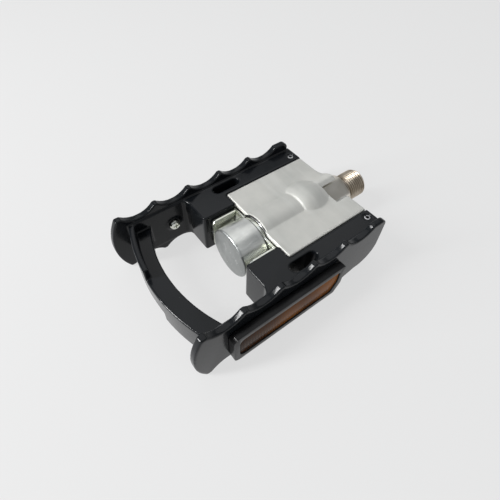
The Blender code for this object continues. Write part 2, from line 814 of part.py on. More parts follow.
def make_cage():
    cage = outline_solid(arm_outline(-1.0), -DECK_Z, DECK_Z, "XY")
    rear_arm = outline_solid(arm_outline(1.0), -DECK_Z, DECK_Z, "XY")
    join(cage, as_cutter(rear_arm, "arm_rear"))
    boolean(cage, "INTERSECT", [deck_band()])
    hub_sweep = cylinder((0.0, 0.0, 0.0), (0.0, 1.0, 0.0), EAR_ARC_R, 2.0 * ARM_INNER_Y, 96)
    cut(cage, as_cutter(hub_sweep, "hub_sweep"))
    join(cage, end_bar())
    for label, side in SIDES:
        low, high = span(side * WALL_INNER_Y, side * WALL_OUTER_Y)
        wall = outline_solid(wall_outline(), low, high, "XZ")
        boss_middle = (SCREW_X[0], side * (BOSS_Y + 1.0), 0.0)
        boss = cylinder(boss_middle, (0.0, 1.0, 0.0), BOSS_R, 2.0)
        join(cage, as_cutter(wall, f"wall_{label}"), as_cutter(boss, f"screw_boss_{label}"))
        join(cage, end_rim(label, side))
    for label, side in SIDES:
        lug_x = LUG_X[0] - GAP * 2.0
        lug_z = LUG_HALF_Z + GAP
        lug_y = (side * TAB_Y[0], side * (LUG_OUTER_Y + GAP))
        groove = box((lug_x, BARREL_OUTER_X), lug_y, (-BEYOND, lug_z))
        pin_bore_low = ARM_INNER_Y - 1.5
        pin_bore_length = PIN_Y[1] + GAP - pin_bore_low
        pin_bore_middle = (0.0, side * (pin_bore_low + pin_bore_length / 2.0), 0.0)
        pin_bore = cylinder(pin_bore_middle, (0.0, 1.0, 0.0), PIN_BORE_R, pin_bore_length)
        washer_floor = WASHER_Y[1] + GAP
        washer_middle = (0.0, side * (washer_floor - 2.0), 0.0)
        washer_room = cylinder(washer_middle, (0.0, 1.0, 0.0), WASHER_R + GAP, 4.0)
        roll_room = cylinder((0.0, side * ROLL_PIN_Y, 0.0), (0.0, 0.0, 1.0), ROLL_PIN_R + GAP, 30.0, 16)
        cut(
            cage,
            slot_cutter(label, side),
            as_cutter(groove, f"lug_groove_{label}"),
            as_cutter(pin_bore, f"pin_bore_{label}"),
            as_cutter(washer_room, f"washer_room_{label}"),
            as_cutter(roll_room, f"roll_pin_room_{label}"),
        )
        for number, screw_x in enumerate(SCREW_X):
            hole = cylinder((screw_x, side * 33.0, 0.0), (0.0, 1.0, 0.0), SCREW_R + GAP, 9.0, 16)
            cut(cage, as_cutter(hole, f"screw_hole_{label}_{number}"))
    as_part(cage, "cage", cage_body, black_casting)


def make_hinge_pins():
    for label, side in SIDES:
        low, high = span(side * PIN_Y[0], side * PIN_Y[1])
        middle = (0.0, (low + high) / 2.0, 0.0)
        pin = cylinder(middle, (0.0, 1.0, 0.0), PIN_R, high - low)
        hole = cylinder((0.0, side * ROLL_PIN_Y, 0.0), (0.0, 0.0, 1.0), ROLL_PIN_R + GAP, 3.0 * PIN_R, 16)
        cut(pin, as_cutter(hole, f"hinge_pin_hole_{label}"))
        as_part(pin, f"hinge_pin_{label}", cage_body, bearing_steel)
        roll_profile = [
            (ROLL_PIN_HALF, ROLL_PIN_R),
            (-ROLL_PIN_HALF, ROLL_PIN_R),
            (-ROLL_PIN_HALF, ROLL_PIN_HOLLOW_R),
            (ROLL_PIN_HALF, ROLL_PIN_HOLLOW_R),
        ]
        centre = (0.0, side * ROLL_PIN_Y, 0.0)
        roll_pin = turned(roll_profile, ring=True, segments=16, about="Z", centre=centre)
        as_part(roll_pin, f"roll_pin_{label}", cage_body, spring_steel)
        low, high = span(side * WASHER_Y[0], side * WASHER_Y[1])
        profile = [(high, WASHER_R), (low, WASHER_R), (low, PIN_BORE_R), (high, PIN_BORE_R)]
        washer = turned(profile, ring=True, segments=24, about="Y")
        as_part(washer, f"thrust_washer_{label}", cage_body, nylon)


# Reflectors --------------------------------------------------------------------------------------

def reflector_outline(inset):
    """A reflector from the side; it hangs lower than the deck, and its crank end is cut below."""
    low_x, high_x = REFLECTOR_X[0] + inset, REFLECTOR_X[1] - inset
    low_z, high_z = REFLECTOR_Z[0] + inset, REFLECTOR_Z[1] - inset
    small = 1.2
    big = REFLECTOR_CUT
    return [
        (low_x + small, low_z),
        (high_x - big, low_z),
        (high_x, low_z + 2.0 * big),
        (high_x, high_z - small),
        (high_x - small, high_z),
        (low_x + small, high_z),
        (low_x, high_z - small),
        (low_x, low_z + small),
    ]


def make_reflectors():
    for label, side in SIDES:
        low, high = span(side * REFLECTOR_BACK_Y, side * REFLECTOR_FACE_Y)
        housing = outline_solid(reflector_outline(0.0), low, high, "XZ")
        low, high = span(side * LENS_SEAT_Y, side * (REFLECTOR_FACE_Y + 1.0))
        window = outline_solid(reflector_outline(LENS_INSET), low, high, "XZ")
        cut(housing, as_cutter(window, f"reflector_window_{label}"))
        for number, screw_x in enumerate(SCREW_X):
            length = SCREW_TIP_Y + 0.3 - REFLECTOR_BACK_Y + 1.0
            middle_y = SCREW_TIP_Y + GAP - length / 2.0
            hole = cylinder(
                (screw_x, side * middle_y, 0.0), (0.0, 1.0, 0.0), SCREW_R + GAP, length, 16
            )
            cut(housing, as_cutter(hole, f"reflector_screw_hole_{label}_{number}"))
        as_part(housing, f"reflector_housing_{label}", cage_body, black_plastic)
        low, high = span(side * (LENS_SEAT_Y + GAP), side * LENS_FACE_Y)
        lens = outline_solid(reflector_outline(LENS_INSET + GAP), low, high, "XZ")
        as_part(lens, f"reflector_lens_{label}", cage_body, amber)
        for place, screw_x in zip(("outer", "inner"), SCREW_X):
            screw = reflector_screw(side, screw_x)
            as_part(screw, f"reflector_screw_{label}_{place}", cage_body, zinc)


def reflector_screw(side, x):
    """A pan-head screw that comes through the wall from inside the cage."""
    outward = [
        (SCREW_TIP_Y, 0.0),
        (SCREW_TIP_Y, SCREW_R),
        (SCREW_HEAD_Y[1], SCREW_R),
        (SCREW_HEAD_Y[1], SCREW_HEAD_R),
        (SCREW_HEAD_Y[0] + 0.6, SCREW_HEAD_R),
        (SCREW_HEAD_Y[0], SCREW_HEAD_R - 0.8),
        (SCREW_HEAD_Y[0], 0.0),
    ]
    if side < 0.0:
        outward = [(-along, radius) for along, radius in reversed(outward)]
    return turned(outward, segments=16, about="Y", centre=(x, 0.0, 0.0))


make_spindle()
make_outer_cone()
make_tab_washer()
make_lock_nut()
make_balls("inner_ball", INNER_BALL_X, INNER_PITCH_R, INNER_BALLS, inner_balls_body)
make_balls("outer_ball", OUTER_BALL_X, OUTER_PITCH_R, OUTER_BALLS, outer_balls_body)
make_hub()
make_inner_cup()
make_outer_cup()
make_inner_seal()
make_dust_cap()
make_hinge_bushes()
make_lock_spring()
make_lock_slider()
make_cage()
make_hinge_pins()
make_reflectors()
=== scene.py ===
"""Looks of the folding flat pedal: cast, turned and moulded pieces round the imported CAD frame.

Shapes are made in millimetres from the point where the spindle's axis meets the cage's hinge line,
with the spindle along X and +Z up, and go into the frame in metres once they are whole.
"""

import json
import math

import bmesh
import bpy
from mathutils import Matrix, Vector


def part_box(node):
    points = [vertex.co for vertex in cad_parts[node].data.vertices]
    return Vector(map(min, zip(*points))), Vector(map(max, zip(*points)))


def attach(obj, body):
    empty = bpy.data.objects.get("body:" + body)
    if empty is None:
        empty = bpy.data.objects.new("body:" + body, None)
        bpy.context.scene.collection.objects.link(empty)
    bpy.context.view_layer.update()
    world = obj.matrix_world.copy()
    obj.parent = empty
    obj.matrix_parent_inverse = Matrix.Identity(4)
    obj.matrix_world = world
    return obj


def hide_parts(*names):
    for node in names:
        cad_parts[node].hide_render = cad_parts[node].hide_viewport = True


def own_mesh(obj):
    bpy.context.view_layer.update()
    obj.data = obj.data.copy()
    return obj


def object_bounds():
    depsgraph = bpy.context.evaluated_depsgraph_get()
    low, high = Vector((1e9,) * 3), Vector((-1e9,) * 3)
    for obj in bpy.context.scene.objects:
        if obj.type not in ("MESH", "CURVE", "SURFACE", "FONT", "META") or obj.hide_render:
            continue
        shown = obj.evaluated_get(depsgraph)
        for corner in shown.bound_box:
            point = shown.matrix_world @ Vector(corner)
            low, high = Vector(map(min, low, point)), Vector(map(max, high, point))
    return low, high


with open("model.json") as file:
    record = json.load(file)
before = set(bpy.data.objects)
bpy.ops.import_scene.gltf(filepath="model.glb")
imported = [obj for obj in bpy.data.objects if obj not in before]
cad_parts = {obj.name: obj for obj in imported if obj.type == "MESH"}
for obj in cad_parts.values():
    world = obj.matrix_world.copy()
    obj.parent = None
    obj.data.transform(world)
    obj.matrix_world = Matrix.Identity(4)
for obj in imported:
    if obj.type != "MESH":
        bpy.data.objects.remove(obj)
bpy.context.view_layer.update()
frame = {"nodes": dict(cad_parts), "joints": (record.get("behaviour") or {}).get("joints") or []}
JOINTS = {joint["name"]: joint for joint in frame["joints"]}
HINGE = Vector(JOINTS["cage_fold"]["pos_m"])
MM = 0.001
BEYOND = 60.0  # a reach in millimetres that clears the hub all round and the cage's width


def node_box(name):
    """A CAD node's lowest and highest corners in millimetres from the hinge point."""
    low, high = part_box(name)
    return (low - HINGE) / MM, (high - HINGE) / MM


hub_low, hub_high = node_box("hub_body")
cage_low, cage_high = node_box("cage")
cap_low, cap_high = node_box("dust_cap")
slider_low, slider_high = node_box("lock_slider")
spring_low, spring_high = node_box("lock_spring")
spindle_low, spindle_high = node_box("spindle")
screw_low, screw_high = node_box("reflector_screw_rear_outer")
pin_low, pin_high = node_box("roll_pin_rear")
housing_low, housing_high = node_box("reflector_housing_front")
lens_low, lens_high = node_box("reflector_lens_front")

# Sizes that the boxes don't give, in millimetres.
DECK_Z = 10.7
GAP = 0.3  # between neighbouring pieces
ROOM_GAP = 0.75  # round the lock slider in the hub, whose softened corners would touch it

# Hub.
HUB_HALF_WIDTH = hub_high.y
HUB_CRANK_X = 2.8
CRANK_BULGE = 3.3
HUB_OUTER_R = 43.9
HUB_CORNER_R = 2.4
BARREL_R = 12.6
BARREL_OUTER_X = -42.6
STEP_X = -19.5
DOME_R = 14.6
DOME_CENTRE_X = -13.0
CROWN_R = 14.6
CROWN_TURN = math.degrees(math.asin((DOME_CENTRE_X - STEP_X) / CROWN_R))
NOSE_R = 12.0
NOSE_END_X = 6.6
WINDOW_INNER_X = -4.0
WINDOW_HALF_Y = 11.5
WINDOW_DEPTH_Z = 9.5
NECK_R = 9.9
NECK_LENGTH = 8.6
NECK_STOCK = 0.4  # left on the neck by the join, and turned off by the lock room's cut
NECK_BORE_R = 8.7
THROUGH_BORE_R = 6.6
SEAL_BORE_R = 10.4
INNER_SEAT_X = -13.3
OUTER_SEAT_X = -41.4
FLARE_R = 2.8
HINGE_BORE_R = 4.0
HINGE_BORE_REACH = 11.3

# Dust cap.
CAP_R = cap_high.z
CAP_BORE_R = 10.2
CAP_INSIDE_R = 9.4
CAP_FACE_T = 1.6
CAP_LEDGE_X = -48.9

# Lock slider and its spring.
PLATE_X = (-44.1, -42.7)
TAB_Y = (13.4, 15.0)
TAB_HALF_Z = 8.2
PLATE_DISC_R = 11.3
PLATE_HALF_Z = 8.6
LUG_X = (-47.6, -44.7)
LUG_HALF_Z = 3.4
LUG_ROOT_Y = 14.0
SPRING_R = 10.7
SPRING_WIRE_R = 0.45
SPRING_TURNS = 5
SPRING_ROOM_R = 11.55
SPRING_ROOM_X = -29.7
POCKET_FLOOR_X = -37.3
LUG_ROOM_X = -39.5

# Spindle.
SHOULDER_X = 10.9
SHOULDER_R = 9.0
FLATS_HALF = 7.5
FLATS_TURN = math.radians(27.0)
FLATS_INNER_X = -3.4
THREAD_R = 7.15
THREAD_ROOT_R = THREAD_R - 0.75
THREAD_PITCH = 1.27  # 20 threads per inch
RINGS_PER_PITCH = 12
JOURNAL_R = 6.65
SPINDLE_NECK_R = 4.0
SPINDLE_NECK_X = -40.8
NUT_THREAD_R = 3.2
NUT_THREAD_CHAMFER = 0.7

# Cage.
TIP_Z = cage_high.z
WALL_OUTER_Y = cage_high.y
WALL_INNER_Y = 31.4
WALL_CRANK_X = 2.0
ARM_INNER_Y = 22.8
ARM_CRANK_X = 3.2
EAR_INNER_Y = 15.3
EAR_OUTER_X = -60.0
EAR_ARC_R = 44.3
EAR_SHOULDER_Y = 27.7
RAIL_INNER_Y = 30.6
RAIL_END_X = -88.5
TOOTH_PITCH = 17.15
FIRST_TIP_X = -5.3
TOOTH_COUNT = 6
TOOTH_DEPTH = 3.3
TIP_FLAT = 1.6
LOWER_CORNER_R = 11.0
BAR_HALF_Z = 5.0
BAR_INNER_R = 69.0
BAR_OUTER_R = 80.0
BAR_INNER_X = -86.3
BAR_OUTER_X = -94.6
RIM_T = 2.4
RIM_START_Y = 5.8
SLOT_X = -39.5
SLOT_Y = 27.7
SLOT_LENGTH = 14.3
SLOT_WIDTH = 4.8
PIN_BORE_R = 2.8
PIN_BORE_LENGTH = 10.0
PIN_BORE_MIDDLE_Y = 26.3
WASHER_R = 5.0
WASHER_FLOOR_Y = 24.1
BOSS_R = 3.6
BOSS_Y = 30.1

# Reflector screws.
SCREW_X = (-68.0, -39.0)
SCREW_R = 1.4
SCREW_SEAT_Y = 29.8

SIDES = (("front", -1.0), ("rear", 1.0))


# Shapes ------------------------------------------------------------------------------------------

def mesh_object(fill):
    """A new object in the scene whose mesh the function fill makes in a bmesh."""
    mesh = bpy.data.meshes.new("shape")
    work = bmesh.new()
    fill(work)
    bmesh.ops.recalc_face_normals(work, faces=work.faces)
    work.to_mesh(mesh)
    work.free()
    made = bpy.data.objects.new("shape", mesh)
    bpy.context.scene.collection.objects.link(made)
    return made


def skin_over(work, rings):
    """Faces between rings of points, one after another, and a cap on the first and the last."""
    for first, second in zip(rings, rings[1:]):
        for i in range(len(first)):
            work.faces.new((first[i - 1], first[i], second[i], second[i - 1]))
    work.faces.new(rings[0])
    work.faces.new(rings[-1])


def arc(centre, radius, start, end, steps):
    """Points of an arc in a plane, both ends included; the angles are in degrees."""
    turns = [math.radians(start + (end - start) * i / steps) for i in range(steps + 1)]
    return [(centre[0] + radius * math.cos(t), centre[1] + radius * math.sin(t)) for t in turns]


def rounded(corners, closed=True, steps=5):
    """An outline whose corners, given as (along, across, radius), are rounded by arcs."""
    made = []
    for i, corner in enumerate(corners):
        here = Vector(corner[:2])
        radius = corner[2] if len(corner) > 2 else 0.0
        if not radius or (not closed and i in (0, len(corners) - 1)):
            made.append(tuple(here))
            continue
        back = (Vector(corners[i - 1][:2]) - here).normalized()
        on = (Vector(corners[(i + 1) % len(corners)][:2]) - here).normalized()
        half = back.angle(on) / 2.0
        centre = here + (back + on).normalized() * radius / math.sin(half)
        first = here + back * radius / math.tan(half) - centre
        last = here + on * radius / math.tan(half) - centre
        start = math.degrees(math.atan2(first.y, first.x))
        sweep = (math.degrees(math.atan2(last.y, last.x)) - start + 180.0) % 360.0 - 180.0
        made += arc(centre, radius, start, start + sweep, steps)
    return made


def slab(outline, low, high, plane):
    """A flat outline with a thickness: plane XY is thick along Z, XZ along Y and YZ along X."""
    low, high = min(low, high), max(low, high)
    place = {
        "XY": lambda u, v, w: (u, v, w),
        "XZ": lambda u, v, w: (u, w, v),
        "YZ": lambda u, v, w: (w, u, v),
    }[plane]

    def fill(work):
        near = [work.verts.new(place(u, v, low)) for u, v in outline]
        far = [work.verts.new(place(u, v, high)) for u, v in outline]
        work.faces.new(near)
        work.faces.new(far)
        for i in range(len(outline)):
            work.faces.new((near[i - 1], near[i], far[i], far[i - 1]))
        bmesh.ops.triangulate(work, faces=[face for face in work.faces if len(face.verts) > 4])

    return mesh_object(fill)


def box(x_ends, y_ends, z_ends):
    outline = [(x_ends[0], y_ends[0]), (x_ends[1], y_ends[0]), (x_ends[1], y_ends[1]), (x_ends[0], y_ends[1])]
    return slab(outline, z_ends[0], z_ends[1], "XY")


def turned(profile, ring=False, segments=96, about="X", centre=(0.0, 0.0, 0.0)):
    """A profile of (distance along the axis, radius) points turned about an axis through centre."""
    axes = {
        "X": Matrix(((0, 0, 1), (1, 0, 0), (0, 1, 0))),
        "Y": Matrix(((1, 0, 0), (0, 0, 1), (0, -1, 0))),
        "Z": Matrix.Identity(3),
    }
    turn = axes[about].to_4x4()

    def fill(work):
        points = [work.verts.new((radius, 0.0, along)) for along, radius in profile]
        edges = [work.edges.new(pair) for pair in zip(points, points[1:])]
        if ring:
            edges.append(work.edges.new((points[-1], points[0])))
        bmesh.ops.spin(
            work,
            geom=points + edges,
            cent=(0.0, 0.0, 0.0),
            axis=(0.0, 0.0, 1.0),
            angle=2.0 * math.pi,
            steps=segments,
        )
        bmesh.ops.remove_doubles(work, verts=work.verts, dist=0.0005)
        hubs = [vert for vert in work.verts if vert.co.xy.length < 0.001]
        bmesh.ops.dissolve_verts(work, verts=hubs)
        bmesh.ops.transform(work, matrix=Matrix.Translation(centre) @ turn, verts=work.verts)

    return mesh_object(fill)


def cylinder(centre, axis, radius, length, segments=48):
    profile = [(-length / 2.0, 0.0), (-length / 2.0, radius), (length / 2.0, radius), (length / 2.0, 0.0)]
    return turned(profile, segments=segments, about=axis, centre=centre)


def settle(obj):
    """Applies an object's modifiers to its mesh."""
    graph = bpy.context.evaluated_depsgraph_get()
    mesh = bpy.data.meshes.new_from_object(obj.evaluated_get(graph))
    old = obj.data
    obj.modifiers.clear()
    obj.data = mesh
    bpy.data.meshes.remove(old)
    return obj


def combine(obj, operation, others):
    for other in others:
        step = obj.modifiers.new(operation, "BOOLEAN")
        step.operation = operation
        step.solver = "EXACT"
        step.object = other
    settle(obj)
    for other in others:
        bpy.data.objects.remove(other, do_unlink=True)
    return obj


def cut(obj, *others):
    return combine(obj, "DIFFERENCE", others)


def join(obj, *others):
    return combine(obj, "UNION", others)


def shape_of(obj, width, segments=2, angle=30.0):
    """Rounds the sharp edges of a crisp piece."""
    step = obj.modifiers.new("edges", "BEVEL")
    step.width = width
    step.segments = segments
    step.limit_method = "ANGLE"
    step.angle_limit = math.radians(angle)
    step.use_clamp_overlap = True
    settle(obj)
    return smooth(obj, 40.0)


def cast(obj, grain, passes, keep=1.0):
    """The soft edges and fillets of a casting: an even skin, eased, then thinned where it is flat."""
    skin = obj.modifiers.new("skin", "REMESH")
    skin.mode = "VOXEL"
    skin.voxel_size = grain
    skin.use_smooth_shade = True
    ease = obj.modifiers.new("ease", "SMOOTH")
    ease.factor = 0.5
    ease.iterations = passes
    if keep < 1.0:
        thin = obj.modifiers.new("thin", "DECIMATE")
        thin.ratio = keep
    settle(obj)
    obj.data.shade_smooth()
    return obj


def smooth(obj, angle=35.0):
    obj.data.shade_smooth()
    obj.data.set_sharp_from_angle(angle=math.radians(angle))
    return obj


def finished(obj, name, body, slot, material, *nodes):
    """Puts a whole piece into the frame in place of CAD nodes."""
    obj.name = name
    obj.data.name = name
    obj.data.transform(Matrix.Translation(HINGE) @ Matrix.Scale(MM, 4))
    obj.data.materials.clear()
    obj.data.materials.append(material)
    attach(obj, body)
    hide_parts(*nodes)
    return obj


# Materials ---------------------------------------------------------------------------------------

class Finish:
    """A material with a Principled shader and a few texture nodes in the piece's own coordinates."""

    def __init__(self, name, metallic=0.0, **plain):
        self.material = bpy.data.materials.new(name)
        self.material.use_nodes = True
        self.tree = self.material.node_tree
        self.shader = self.tree.nodes["Principled BSDF"]
        self.shader.inputs["Metallic"].default_value = metallic
        for key, value in plain.items():
            self.shader.inputs[key.replace("_", " ")].default_value = value
        self.place = self.tree.nodes.new("ShaderNodeTexCoord").outputs["Object"]
        self.bump = None

    def stretched(self, scale):
        """Coordinates scaled by a different amount along each axis."""
        node = self.tree.nodes.new("ShaderNodeMapping")
        node.inputs["Scale"].default_value = scale
        self.tree.links.new(self.place, node.inputs["Vector"])
        return node.outputs["Vector"]

    def noise(self, scale, detail=3.0, roughness=0.5, place=None, distortion=0.0):
        node = self.tree.nodes.new("ShaderNodeTexNoise")
        node.inputs["Scale"].default_value = scale
        node.inputs["Detail"].default_value = detail
        node.inputs["Roughness"].default_value = roughness
        node.inputs["Distortion"].default_value = distortion
        self.tree.links.new(place or self.place, node.inputs["Vector"])
        return node.outputs["Fac"]

    def along(self, axis, start, end):
        """A share that grows from 0 to 1 between two places along an axis, in metres."""
        split = self.tree.nodes.new("ShaderNodeSeparateXYZ")
        self.tree.links.new(self.place, split.inputs["Vector"])
        node = self.tree.nodes.new("ShaderNodeMapRange")
        node.inputs["From Min"].default_value = start
        node.inputs["From Max"].default_value = end
        self.tree.links.new(split.outputs[axis], node.inputs["Value"])
        return node.outputs["Result"]

    def ramp(self, value, stops):
        """Colours (or greys) at places from 0 to 1 along a value."""
        node = self.tree.nodes.new("ShaderNodeValToRGB")
        elements = node.color_ramp.elements
        while len(elements) < len(stops):
            elements.new(0.5)  # its place is set below
        for element, (place, colour) in zip(elements, stops):
            element.position = place
            shade = colour if isinstance(colour, tuple) else (colour, colour, colour)
            element.color = (*shade, 1.0)
        self.tree.links.new(value, node.inputs["Fac"])
        return node.outputs["Color"]

    def mix(self, share, first, second, blend="MIX"):
        node = self.tree.nodes.new("ShaderNodeMix")
        node.data_type = "RGBA"
        node.blend_type = blend
        for value, key in ((share, 0), (first, 6), (second, 7)):
            if isinstance(value, bpy.types.NodeSocket):
                self.tree.links.new(value, node.inputs[key])
            elif key:
                node.inputs[key].default_value = (*value, 1.0)
            else:
                node.inputs[key].default_value = value
        return node.outputs[2]

    def groove_shade_share(self, low, high):
        """A share from pointiness, 0 in hollows and growing to 1 on outer edges; mixed with a near-black
        colour it paints shade into hollows such as thread roots.
        """
        pointiness = self.tree.nodes.new("ShaderNodeNewGeometry").outputs["Pointiness"]
        return self.ramp(pointiness, [(low, 0.0), (high, 1.0)])

    def colour(self, value):
        self.tree.links.new(value, self.shader.inputs["Base Color"])

    def roughness(self, value):
        self.tree.links.new(value, self.shader.inputs["Roughness"])

    def relief(self, value, strength, distance=0.0001):
        node = self.tree.nodes.new("ShaderNodeBump")
        node.inputs["Strength"].default_value = strength
        node.inputs["Distance"].default_value = distance
        self.tree.links.new(value, node.inputs["Height"])
        if self.bump is not None:
            self.tree.links.new(self.bump, node.inputs["Normal"])
        self.bump = node.outputs["Normal"]
        self.tree.links.new(self.bump, self.shader.inputs["Normal"])


def cast_aluminium():
    finish = Finish("satin_cast_aluminium", metallic=0.5)
    cloud = finish.noise(55.0, detail=4.0)
    grain = finish.noise(1400.0, detail=2.0)
    streak = finish.noise(260.0, detail=2.0, place=finish.stretched((1.0, 0.12, 0.5)))
    tone = finish.ramp(cloud, [(0.3, (0.455, 0.46, 0.435)), (0.7, (0.59, 0.585, 0.55))])
    finish.colour(finish.mix(finish.ramp(streak, [(0.45, 0.0), (0.75, 0.35)]), tone, (0.67, 0.67, 0.64)))
    finish.roughness(finish.ramp(cloud, [(0.3, 0.56), (0.7, 0.48)]))
    finish.relief(grain, 0.25, 0.00006)
    finish.relief(cloud, 0.12, 0.0004)
    return finish.material


def turned_aluminium():
    finish = Finish("turned_aluminium", metallic=1.0, Anisotropic=0.3)
    lines = finish.noise(900.0, detail=1.0, place=finish.stretched((1.0, 0.02, 0.02)))
    cloud = finish.noise(120.0, detail=4.0)
    scuff = finish.noise(500.0, detail=3.0, place=finish.stretched((0.3, 1.0, 0.4)), distortion=1.5)
    tone = finish.ramp(cloud, [(0.3, (0.70, 0.71, 0.68)), (0.7, (0.82, 0.83, 0.80))])
    # Painted shade: the cap's end face gets a darker copy of the side's colour, standing in for the dimmer
    # light on that face.
    face = finish.ramp(cloud, [(0.3, (0.30, 0.315, 0.31)), (0.7, (0.42, 0.435, 0.43))])
    off_shaded_face = finish.along("X", HINGE.x + (cap_low.x + 0.5) * MM, HINGE.x + (cap_low.x + 1.0) * MM)
    tone = finish.mix(off_shaded_face, face, tone)
    finish.colour(finish.mix(finish.ramp(scuff, [(0.60, 0.0), (0.72, 0.5)]), tone, (0.84, 0.85, 0.84)))
    finish.roughness(finish.ramp(scuff, [(0.4, 0.34), (0.75, 0.52)]))
    finish.relief(lines, 0.15, 0.00005)
    return finish.material


def black_paint():
    finish = Finish("glossy_black_paint", IOR=1.33)
    peel = finish.noise(420.0, detail=2.0)
    dust = finish.noise(2600.0, detail=1.0)
    cloud = finish.noise(70.0, detail=3.0)
    finish.colour(finish.ramp(cloud, [(0.3, (0.004, 0.005, 0.006)), (0.7, (0.007, 0.008, 0.0095))]))
    finish.roughness(finish.ramp(cloud, [(0.3, 0.14), (0.7, 0.22)]))
    finish.relief(peel, 0.10, 0.0002)
    finish.relief(dust, 0.05, 0.00005)
    return finish.material


def black_plastic():
    finish = Finish("black_moulded_plastic", IOR=1.33)
    grain = finish.noise(1800.0, detail=2.0)
    cloud = finish.noise(90.0, detail=2.0)
    finish.colour(finish.ramp(cloud, [(0.3, (0.005, 0.005, 0.0055)), (0.7, (0.008, 0.008, 0.0085))]))
    finish.roughness(finish.ramp(cloud, [(0.3, 0.28), (0.7, 0.40)]))
    finish.relief(grain, 0.15, 0.00005)
    return finish.material


def plated_steel():
    finish = Finish("brownish_plated_steel", metallic=1.0)
    cloud = finish.noise(160.0, detail=4.0)
    lines = finish.noise(1500.0, detail=1.0, place=finish.stretched((1.0, 0.03, 0.03)))
    thread = finish.ramp(cloud, [(0.3, (0.38, 0.32, 0.25)), (0.7, (0.58, 0.51, 0.42))])
    shank = finish.ramp(cloud, [(0.3, (0.68, 0.64, 0.56)), (0.7, (0.80, 0.76, 0.69))])
    tone = finish.mix(finish.along("X", HINGE.x + 9.0 * MM, HINGE.x + 13.0 * MM), shank, thread)
    # Painted shade: pointiness colours the thread roots and other hollows near black.
    finish.colour(finish.mix(finish.groove_shade_share(0.42, 0.54), (0.035, 0.03, 0.024), tone))
    finish.roughness(finish.ramp(cloud, [(0.3, 0.26), (0.7, 0.38)]))
    finish.relief(lines, 0.2, 0.00004)
    return finish.material


def bright_steel(name, colour, roughness):
    finish = Finish(name, metallic=1.0)
    cloud = finish.noise(200.0, detail=3.0)
    darker = tuple(0.8 * c for c in colour)
    finish.colour(finish.ramp(cloud, [(0.3, darker), (0.7, colour)]))
    finish.roughness(finish.ramp(cloud, [(0.3, roughness * 0.8), (0.7, roughness * 1.3)]))
    finish.relief(finish.noise(2000.0, detail=1.0), 0.08, 0.00003)
    return finish.material


def zinc_plate():
    finish = Finish("zinc_plate", metallic=1.0)
    cloud = finish.noise(220.0, detail=3.0)
    stops = [(0.3, (0.62, 0.66, 0.55)), (0.5, (0.72, 0.73, 0.66)), (0.7, (0.66, 0.70, 0.68))]
    finish.colour(finish.ramp(cloud, stops))
    finish.roughness(finish.ramp(cloud, [(0.3, 0.16), (0.7, 0.28)]))
    finish.relief(finish.noise(900.0, detail=2.0), 0.1, 0.00005)
    return finish.material


def dull(name, colour, roughness, bump=0.2, scale=1500.0):
    """A matt material: rubber, nylon or sintered bronze."""
    finish = Finish(name)
    cloud = finish.noise(150.0, detail=3.0)
    finish.colour(finish.ramp(cloud, [(0.3, tuple(0.8 * c for c in colour)), (0.7, colour)]))
    finish.roughness(finish.ramp(cloud, [(0.3, roughness * 0.9), (0.7, min(1.0, roughness * 1.15))]))
    finish.relief(finish.noise(scale, detail=2.0), bump, 0.00005)
    return finish.material


def amber_lens():
    """Amber plastic over a fine honeycomb of reflector cells, with painted light: dim amber at the outer end
    grading to a painted orange glow at the crank end.
    """
    finish = Finish("amber_reflector", IOR=1.12)
    cells = finish.tree.nodes.new("ShaderNodeTexVoronoi")
    cells.inputs["Scale"].default_value = 700.0
    cells.inputs["Randomness"].default_value = 0.0
    finish.tree.links.new(finish.stretched((1.0, 0.0, 1.0)), cells.inputs["Vector"])
    edge = finish.ramp(cells.outputs["Distance"], [(0.1, 1.0), (0.6, 0.45)])
    cloud = finish.noise(60.0, detail=2.0)
    painted_dim_amber = finish.ramp(cloud, [(0.3, (0.014, 0.006, 0.003)), (0.7, (0.035, 0.014, 0.005))])
    painted_glow = finish.ramp(cloud, [(0.3, (0.17, 0.055, 0.008)), (0.7, (0.40, 0.135, 0.016))])
    # Painted light: a gradient along the lens from a dim, painted-shade amber at its outer end to a painted
    # glow at its crank end.
    tone = finish.mix(finish.along("X", HINGE.x + lens_low.x * MM, HINGE.x + lens_high.x * MM), painted_dim_amber, painted_glow)
    finish.colour(finish.mix(1.0, tone, edge, "MULTIPLY"))
    finish.roughness(finish.ramp(cells.outputs["Distance"], [(0.1, 0.15), (0.6, 0.35)]))
    finish.relief(cells.outputs["Distance"], 0.12, 0.0003)
    return finish.material


# Spindle -----------------------------------------------------------------------------------------

def thread_height(x, turn):
    """Height of the helical thread's crest over its root, from 0 to 1."""
    phase = (x / THREAD_PITCH - turn / (2.0 * math.pi)) % 1.0
    ridge = 1.0 - abs(2.0 * phase - 1.0)
    return min(1.0, max(0.0, (ridge - 0.1) / 0.75))


